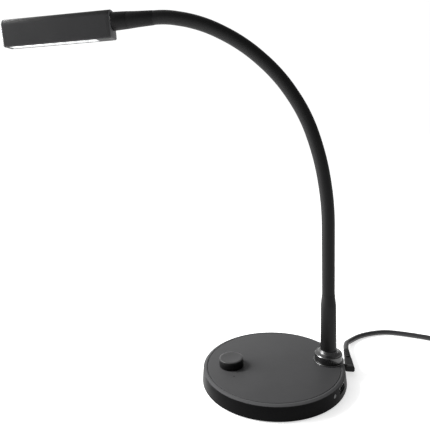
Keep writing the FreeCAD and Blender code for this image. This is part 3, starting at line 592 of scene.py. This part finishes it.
def head_section(inset_y, inset_z):
    """The head's outline in (y, z), arched above and eased below, drawn in from its sides and its ends."""
    half, top, bottom = HEAD_HALF - inset_y, HEAD_TOP - inset_z, HEAD_BOTTOM + inset_z
    arch = HEAD_ARCH - inset_y
    corners = ((half, bottom, HEAD_EDGE), (half, top, arch), (-half, top, arch),
               (-half, bottom, HEAD_EDGE))
    return eased(corners, SECTION_STEPS)


def bar(name, stations, material):
    """A bar of the head's section; each station is (x, inset of the sides, inset of top and bottom)."""
    rings = []
    for x, inset_y, inset_z in stations:
        outline = head_section(inset_y, inset_z)
        rings.append(np.column_stack([np.full(len(outline), x), outline]))
    return piece(name, extrusion(name, to_head(np.array(rings))), material)


def tip_stations(side=3.0, end=2.0, steps=9):
    """The tip's cap: each inset follows its own quarter circle, r - sqrt(r^2 - (r - d)^2) at d from
    the end."""
    quarter = side * (1 - np.sin(np.linspace(0, np.pi / 2, steps)))
    d = np.concatenate([[HEAD_L - TIP_SEAM, HEAD_L - TIP_SEAM - 0.1], quarter])
    insets = [np.where(d < r, r - np.sqrt(np.maximum(r * r - (r - d) ** 2, 0)), 0.0) for r in (side, end)]
    insets[0][0] = insets[1][0] = 0.1
    return list(zip(HEAD_L - d, *insets))


def channel(name, first, last, material):
    """An arched channel, open below: the outer arch, then the inner arch back, drawn out along x."""
    inner = HEAD_HALF - HEAD_WALL
    foot = HEAD_BOTTOM + CHANNEL_LIFT
    arch = HEAD_ARCH - HEAD_WALL
    outline = eased(((inner, foot, 0), (HEAD_HALF, foot, LIP), (HEAD_HALF, HEAD_TOP, HEAD_ARCH),
                     (-HEAD_HALF, HEAD_TOP, HEAD_ARCH), (-HEAD_HALF, foot, LIP), (-inner, foot, 0),
                     (-inner, HEAD_TOP - HEAD_WALL, arch), (inner, HEAD_TOP - HEAD_WALL, arch)),
                    SECTION_STEPS)
    stations = np.linspace(first, last, 14)
    rings = np.array([np.column_stack([np.full(len(outline), x), outline]) for x in stations])
    return piece(name, extrusion(name, to_head(rings)), material)


# The lead's line

PLUG_AZIMUTH = math.radians(77.3)
PLUG_WAY = (math.cos(PLUG_AZIMUTH), math.sin(PLUG_AZIMUTH), 0.0)
JACK_Z = 6.4
CORD_R = 3.0
PLUG_L = 41.0
PLUG_START = (82.0, -5.6, JACK_Z)
PLUG_TAIL = (PLUG_START[0] + PLUG_L * PLUG_WAY[0], PLUG_START[1] + PLUG_L * PLUG_WAY[1], JACK_Z)
CORD_ROUTE = (PLUG_TAIL, (94.9, 50.4, JACK_Z), (104.2, 63.2, CORD_R), (120.6, 75.4, CORD_R),
              (140.2, 81.6, CORD_R), (158.6, 82.6, CORD_R), (176.0, 75.4, CORD_R), (196.6, 64.6, CORD_R),
              (219.0, 49.6, CORD_R), (238.0, 43.0, CORD_R))
COIL_TURNS = 6
COIL_INSIDE = 23.5
COIL_STEP = 7.0
LAYER_STEP = 6.6
COIL_TAIL = 26.0


def coil_line(points_a_turn=24):
    """The coil's points in millimetres about its own centre. After t turns the radius is
    inside + step * |t - 3|, eased to a parabola within a quarter turn of the middle, and the height
    rises by one layer over the middle half turn as w^2 (3 - 2 w)."""
    t = np.linspace(0, COIL_TURNS, COIL_TURNS * points_a_turn + 1)
    reach = np.abs(t - COIL_TURNS / 2)
    radius = COIL_INSIDE + COIL_STEP * np.where(reach < 0.25, 0.125 + 2 * reach ** 2, reach)
    w = np.clip(t - COIL_TURNS / 2 + 0.25, 0, 0.5) / 0.5
    angle = np.pi / 2 - 2 * np.pi * t
    height = CORD_R + LAYER_STEP * w * w * (3 - 2 * w)
    return np.stack([radius * np.cos(angle), radius * np.sin(angle), height], -1)


def unit(vector):
    return np.asarray(vector, float) / np.linalg.norm(vector)


def cord_line():
    """The lead's control points in metres: the route, the coil turned and moved so that it goes on
    from the route, and the straight tail to the adapter."""
    coil = coil_line()
    outside = 2 * np.pi * coil[0][1]
    first_way = unit((outside, -COIL_STEP, 0.0))
    last_way = unit((outside, COIL_STEP, 0.0))
    route_way = unit(np.subtract(CORD_ROUTE[-1], CORD_ROUTE[-2]))
    turn = math.atan2(route_way[1], route_way[0]) - math.atan2(first_way[1], first_way[0])
    rotation = np.array(Matrix.Rotation(turn, 3, "Z"))
    placed = (coil - coil[0]) @ rotation.T + CORD_ROUTE[-1] + route_way * (2 * CORD_R)
    tail = placed[-1] + rotation @ last_way * COIL_TAIL
    return np.concatenate([CORD_ROUTE, placed, [tail]]) * MM


# The operators, one for each piece or group of like pieces

def cutter(name, mesh):
    """An object used only to cut with."""
    obj = bpy.data.objects.new(name, mesh)
    bpy.context.scene.collection.objects.link(obj)
    return obj


def box_cutter(name, low, high, azimuth):
    """A box set round the base at an azimuth, in millimetres."""
    corners = np.array([[x, y, z] for x in (low[0], high[0]) for y in (low[1], high[1])
                        for z in (low[2], high[2])])
    faces = [(0, 1, 3, 2), (4, 6, 7, 5), (0, 4, 5, 1), (2, 3, 7, 6), (0, 2, 6, 4), (1, 5, 7, 3)]
    turn = np.array(Matrix.Rotation(math.radians(azimuth), 3, "Z"))
    mesh = bpy.data.meshes.new(name)
    mesh.from_pydata((corners @ turn.T * MM).tolist(), [], faces)
    return cutter(name, mesh)


def cut_windows(housing):
    """Cut the windows of the charging port, the indicator and the power jack through the wall."""
    azimuth = math.radians(INDICATOR_AZIMUTH)
    outline = [[0, CUT_FROM], [INDICATOR_BORE_R, CUT_FROM], [INDICATOR_BORE_R, CUT_TO], [0, CUT_TO]]
    bore = lathe(np.array(outline) * MM, (0, 0, INDICATOR_HEIGHT * MM), 32,
                 (math.cos(azimuth), math.sin(azimuth), 0))
    tools = [box_cutter("usb_window", *USB_WINDOW, USB_AZIMUTH),
             box_cutter("jack_window", *JACK_WINDOW, JACK_AZIMUTH),
             cutter("lens_window", skin("lens_window", bore))]
    for tool in tools:
        modifier = housing.modifiers.new(tool.name, "BOOLEAN")
        modifier.operation = "DIFFERENCE"
        modifier.object = tool
        modifier.solver = "EXACT"
    graph = bpy.context.evaluated_depsgraph_get()
    mesh = bpy.data.meshes.new_from_object(housing.evaluated_get(graph))
    housing.modifiers.clear()
    housing.data = mesh
    for tool in tools:
        bpy.data.objects.remove(tool)
    mesh.shade_smooth()
    mesh.set_sharp_from_angle(angle=math.radians(35))


class LAMP_OT_base(bpy.types.Operator):
    """The moulded housing, the top plate, the pad and the cover"""
    bl_idname = "lamp.base"
    bl_label = "Base"

    def execute(self, context):
        finish = finishes()
        steps = context.scene.lamp_sizes.round_steps
        housing = turned("base_shell", (
            (0, DECK_UNDERSIDE, 0), (73.4, DECK_UNDERSIDE, 0.2), (74.9, PAD_TOP, 0.1), (76.6, PAD_TOP, 0.3),
            (75.0, 15.0, 0.5), (72.4, BASE_TOP, 0.4), (70.9, BASE_TOP, 0.25), (70.9, DECK_TOP, 0),
            (0, DECK_TOP, 0)), (0, 0, 0), finish.housing, steps=steps)
        cut_windows(housing)
        stand_in(housing, "root", "base_black", "base_housing")
        plate = turned("plate_disc", (
            (0, DECK_TOP, 0), (70.5, DECK_TOP, 0.1), (70.5, BASE_TOP, 0.3), (0, BASE_TOP, 0)),
            (0, 0, 0), finish.plate, steps=steps)
        stand_in(plate, "root", "plate_black", "top_plate")
        dress(finish.moulded, "bottom_cover")
        dress(finish.pad, "base_pad")
        dress(finish.steel, "base_weight", "cover_screws", "board_screws", "hollow_stud", "stud_nut",
              "stud_washer", "lower_ferrule", "dimmer_nut", "dimmer_shaft", "socket_nut")
        dress(finish.board, "control_board", "led_board")
        dress(finish.insulator, "dimmer_body")
        return {"FINISHED"}


class LAMP_OT_knob(bpy.types.Operator):
    """The dimmer's knob"""
    bl_idname = "lamp.knob"
    bl_label = "Dimmer knob"

    def execute(self, context):
        knob = turned("knob_cap", (
            (0, 24.7, 0), (4, 24.76, 0), (8, 24.95, 0), (11.2, 25.2, 0.8), (12.72, 24.6, 0.9),
            (13.0, 16.4, 0.25), (7.5, 16.4, 0.2), (7.5, 20.4, 0), (0, 20.4, 0)),
            np.array([KNOB_X, 0, 0]) * MM, finishes().knob)
        stand_in(knob, "knob", "knob_black", "dimmer_knob")
        return {"FINISHED"}


class LAMP_OT_ports(bpy.types.Operator):
    """The charging port, the indicator and the power jack"""
    bl_idname = "lamp.ports"
    bl_label = "Ports"

    def execute(self, context):
        finish = finishes()
        dress(finish.plated, "usb_shell", "plug_barrel", "adapter_pins")
        dress(finish.insulator, "usb_tongue", "power_jack")
        dress(finish.pipe, "indicator_lens")
        return {"FINISHED"}


class LAMP_OT_post(bpy.types.Operator):
    """The ring, the collar and the tapered post"""
    bl_idname = "lamp.post"
    bl_label = "Post"

    def execute(self, context):
        finish = finishes()
        centre = np.array([POST_X, 0, 0]) * MM
        ring = turned("post_ring", (
            (5.0, BASE_TOP, 0), (16.0, BASE_TOP, 0.05), (16.0, RING_TOP, 0.7), (5.0, RING_TOP, 0)),
            centre, finish.collar, loop=True)
        foot = turned("post_foot", (
            (5.0, RING_TOP, 0), (14.6, RING_TOP, 0.1), (14.4, 24.2, 0.3), (13.6, 25.0, 0.3),
            (12.9, 25.0, 0.2), (10.1, 26.1, 1.5), (8.9, COLLAR_TOP, 0.1), (8.46, COLLAR_TOP, 0),
            (8.46, COLLAR_SEAT, 0), (5.0, COLLAR_SEAT, 0)),
            centre, finish.collar, loop=True)
        taper = turned("post_taper", (
            (6.65, COLLAR_SEAT, 0), (8.44, COLLAR_SEAT, 0), (8.4, 30.0, 0), (7.95, 79.0, 8.0),
            (6.95, 88.0, 6.0), (6.8, POST_TOP, 0.1), (6.65, POST_TOP, 0)), centre, finish.post, loop=True)
        for obj, node in ((ring, "post_flange"), (foot, "post_collar"), (taper, "post_sleeve")):
            stand_in(obj, "root", "post_black", node)
        return {"FINISHED"}


class LAMP_OT_neck(bpy.types.Operator):
    """The neck's sleeve in eight stretches, each running across one joint"""
    bl_idname = "lamp.neck"
    bl_label = "Neck"

    def execute(self, context):
        radius = context.scene.lamp_sizes.neck_radius
        ends = NECK_PITCH * np.arange(9)
        reach = (neck_point(ends[-1]) - NECK_START) @ ARM
        ends[0] = NECK_FOOT
        ends[-1] += NECK_END_REACH - reach
        for k in range(8):
            name = "neck_skin_%d" % (k + 1)
            outside = neck_rings(ends[k], ends[k + 1], radius)
            inside = neck_rings(ends[k], ends[k + 1], radius - 0.3 * MM)[::-1]
            obj = piece(name, skin(name, np.concatenate([outside, inside]), loop=True), finishes().neck)
            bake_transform(obj)
            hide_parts("neck_sleeve_%d" % (k + 1), *(["neck_sleeve_9"] if k == 7 else []))
        dress(finishes().steel, *["neck_core_%d" % k for k in range(1, 10)])
        return {"FINISHED"}


class LAMP_OT_head(bpy.types.Operator):
    """The head's housing, its caps, its frame, the boot and the socket"""
    bl_idname = "lamp.head"
    bl_label = "Head"

    def execute(self, context):
        finish = finishes()
        shell = channel("head_shell", NECK_CAP + 0.04, TIP_SEAM - 0.04, finish.head)
        cap = bar("head_end", ((0, 0.68, 0.68), (0.03, 0.57, 0.57), (0.57, 0.03, 0.03), (0.68, 0, 0),
                               (NECK_CAP - 0.1, 0, 0), (NECK_CAP, 0.1, 0.1)), finish.end)
        tip = bar("head_tip", tip_stations(), finish.head)
        boot = turned("boot_taper", (
            (6.63, -42, 0), (6.8, -42, 0.05), (7.5, -25, 12), (8.1, -16.05, 0.2), (6.63, -16.05, 0)),
            HEAD_ORIGIN, finish.boot, axis=ARM, loop=True, steps=64)
        socket = turned("socket_ring", (
            (4.8, -16, 0), (8.15, -16, 0.15), (8.7, -0.5, 0.3), (8.3, 0, 0.1), (4.5, 0, 0), (4.5, 9, 0.2),
            (1.6, 9, 0), (1.6, -6, 0), (4.8, -6, 0)), HEAD_ORIGIN, finish.boot, axis=ARM, loop=True, steps=64)
        stand_in(shell, "head", "head_black", "head_housing")
        stand_in(cap, "head", "head_black", "neck_end_cap")
        stand_in(tip, "head", "head_black", "tip_end_cap")
        stand_in(boot, "head", "neck_black", "head_boot")
        stand_in(socket, "head", "aluminium", "head_socket")
        dress(finish.frame, "lens_frame")
        dress(finish.aluminium, "heat_sink")
        dress(finish.chip, "leds")
        dress(finish.lens, "lens")
        return {"FINISHED"}


class LAMP_OT_lead(bpy.types.Operator):
    """The plug, the lead with its coil, and the adapter"""
    bl_idname = "lamp.lead"
    bl_label = "Lead"

    def execute(self, context):
        finish = finishes()
        sizes = context.scene.lamp_sizes
        points = cord_line()
        curve = bpy.data.curves.new("lead", "CURVE")
        curve.dimensions = "3D"
        spline = curve.splines.new("NURBS")
        spline.points.add(len(points) - 1)
        spline.points.foreach_set("co", np.column_stack([points, np.ones(len(points))]).ravel())
        spline.order_u = 3
        spline.use_endpoint_u = True
        spline.resolution_u = 6
        curve.bevel_depth = sizes.cord_diameter / 2
        curve.bevel_resolution = 5
        curve.use_fill_caps = True
        curve.materials.append(finish.lead)
        lead = bpy.data.objects.new("lead", curve)
        context.scene.collection.objects.link(lead)
        stand_in(lead, "root", "cord_black", "power_cord", "cord_coil")
        dress(finish.plug, "power_plug", "base_leads")
        dress(finish.adapter, "wall_adapter")
        return {"FINISHED"}


def area_light(name, place, aim, size, power):
    """A rectangular white light that looks at a point; sizes and places in metres."""
    data = bpy.data.lights.new(name, "AREA")
    data.shape = "RECTANGLE"
    data.size, data.size_y = size
    data.energy = power
    obj = bpy.data.objects.new(name, data)
    obj.location = place
    obj.rotation_euler = (Vector(aim) - Vector(place)).to_track_quat("-Z", "Y").to_euler()
    bpy.context.scene.collection.objects.link(obj)


def studio(sky, shade):
    """Surroundings that are bright behind the lamp and to its left: the strength follows the dot product
    of the direction with the bright side's, stepping from shade to white and then rising to sky."""
    world = bpy.data.worlds.new("studio")
    world.use_nodes = True
    tree = world.node_tree
    coords = tree.nodes.new("ShaderNodeTexCoord")
    dot = tree.nodes.new("ShaderNodeVectorMath")
    dot.operation = "DOT_PRODUCT"
    dot.inputs[1].default_value = BRIGHT_SIDE
    tree.links.new(coords.outputs["Generated"], dot.inputs[0])
    steps = []
    for low, high, dark, light in ((*SKY_EDGE, shade, 1.0), (SKY_EDGE[1], 1.0, 0.0, sky - 1.0)):
        step = tree.nodes.new("ShaderNodeMapRange")
        for socket, value in zip(("From Min", "From Max", "To Min", "To Max"), (low, high, dark, light)):
            step.inputs[socket].default_value = value
        tree.links.new(dot.outputs["Value"], step.inputs["Value"])
        steps.append(step.outputs["Result"])
    background = tree.nodes["Background"]
    background.inputs["Color"].default_value = (1, 1, 1, 1)
    tree.links.new(maths(tree, "ADD", *steps), background.inputs["Strength"])
    return world


class LAMP_OT_stage(bpy.types.Operator):
    """The camera, the floor and the lights"""
    bl_idname = "lamp.stage"
    bl_label = "Stage"

    def execute(self, context):
        settings = context.scene.lamp_stage
        scene = context.scene
        data = bpy.data.cameras.new("camera")
        data.lens = CAMERA_LENS
        data.sensor_width = CAMERA_SENSOR
        camera = bpy.data.objects.new("camera", data)
        camera.matrix_world = Matrix((CAMERA_RIGHT, CAMERA_UP, CAMERA_BACK)).transposed().to_4x4()
        camera.location = Vector(CAMERA_PLACE) * MM
        scene.collection.objects.link(camera)
        scene.camera = camera
        corners = ((-1, -1), (1, -1), (1, 1), (-1, 1))
        mesh = bpy.data.meshes.new("floor")
        points = [(x * FLOOR_HALF, y * FLOOR_HALF, FLOOR_HEIGHT) for x, y in corners]
        mesh.from_pydata(points, [], [(0, 1, 2, 3)])
        paint = shader("floor", settings.floor, 0.9, Specular_IOR_Level=0.1, Emission_Color=(1, 1, 1, 1),
                       Emission_Strength=settings.floor_glow)[0]
        floor = piece("floor", mesh, paint)
        area_light("key", KEY_PLACE, KEY_AIM, KEY_SIZE, settings.key_power)
        area_light("side", SIDE_PLACE, SIDE_AIM, SIDE_SIZE, settings.side_power)
        scene.world = studio(settings.sky, settings.shade)
        scene.view_settings.view_transform = "Standard"
        return {"FINISHED"}


class LAMP_PT_panel(bpy.types.Panel):
    bl_label = "Lamp"
    bl_idname = "LAMP_PT_panel"
    bl_space_type = "VIEW_3D"
    bl_region_type = "UI"
    bl_category = "Lamp"

    def draw(self, context):
        scene = context.scene
        for group in (scene.lamp_sizes, scene.lamp_colours, scene.lamp_stage):
            box = self.layout.box()
            for name in group.__annotations__:
                box.prop(group, name)
        for operator in OPERATORS:
            self.layout.operator(operator.bl_idname)


GROUPS = (LampSizes, LampColours, StageSettings)
OPERATORS = (LAMP_OT_stage, LAMP_OT_lead, LAMP_OT_base, LAMP_OT_knob, LAMP_OT_ports, LAMP_OT_post,
             LAMP_OT_neck, LAMP_OT_head)


def register():
    for cls in (*GROUPS, *OPERATORS, LAMP_PT_panel):
        bpy.utils.register_class(cls)
    bpy.types.Scene.lamp_sizes = PointerProperty(type=LampSizes)
    bpy.types.Scene.lamp_colours = PointerProperty(type=LampColours)
    bpy.types.Scene.lamp_stage = PointerProperty(type=StageSettings)


def unregister():
    for name in ("lamp_sizes", "lamp_colours", "lamp_stage"):
        delattr(bpy.types.Scene, name)
    for cls in (LAMP_PT_panel, *reversed(OPERATORS), *reversed(GROUPS)):
        bpy.utils.unregister_class(cls)


def main():
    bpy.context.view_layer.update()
    register()
    bpy.ops.lamp.stage()
    bpy.ops.lamp.lead()
    bpy.ops.lamp.base()
    bpy.ops.lamp.knob()
    bpy.ops.lamp.ports()
    bpy.ops.lamp.post()
    bpy.ops.lamp.neck()
    bpy.ops.lamp.head()


if __name__ == "__main__":
    main()
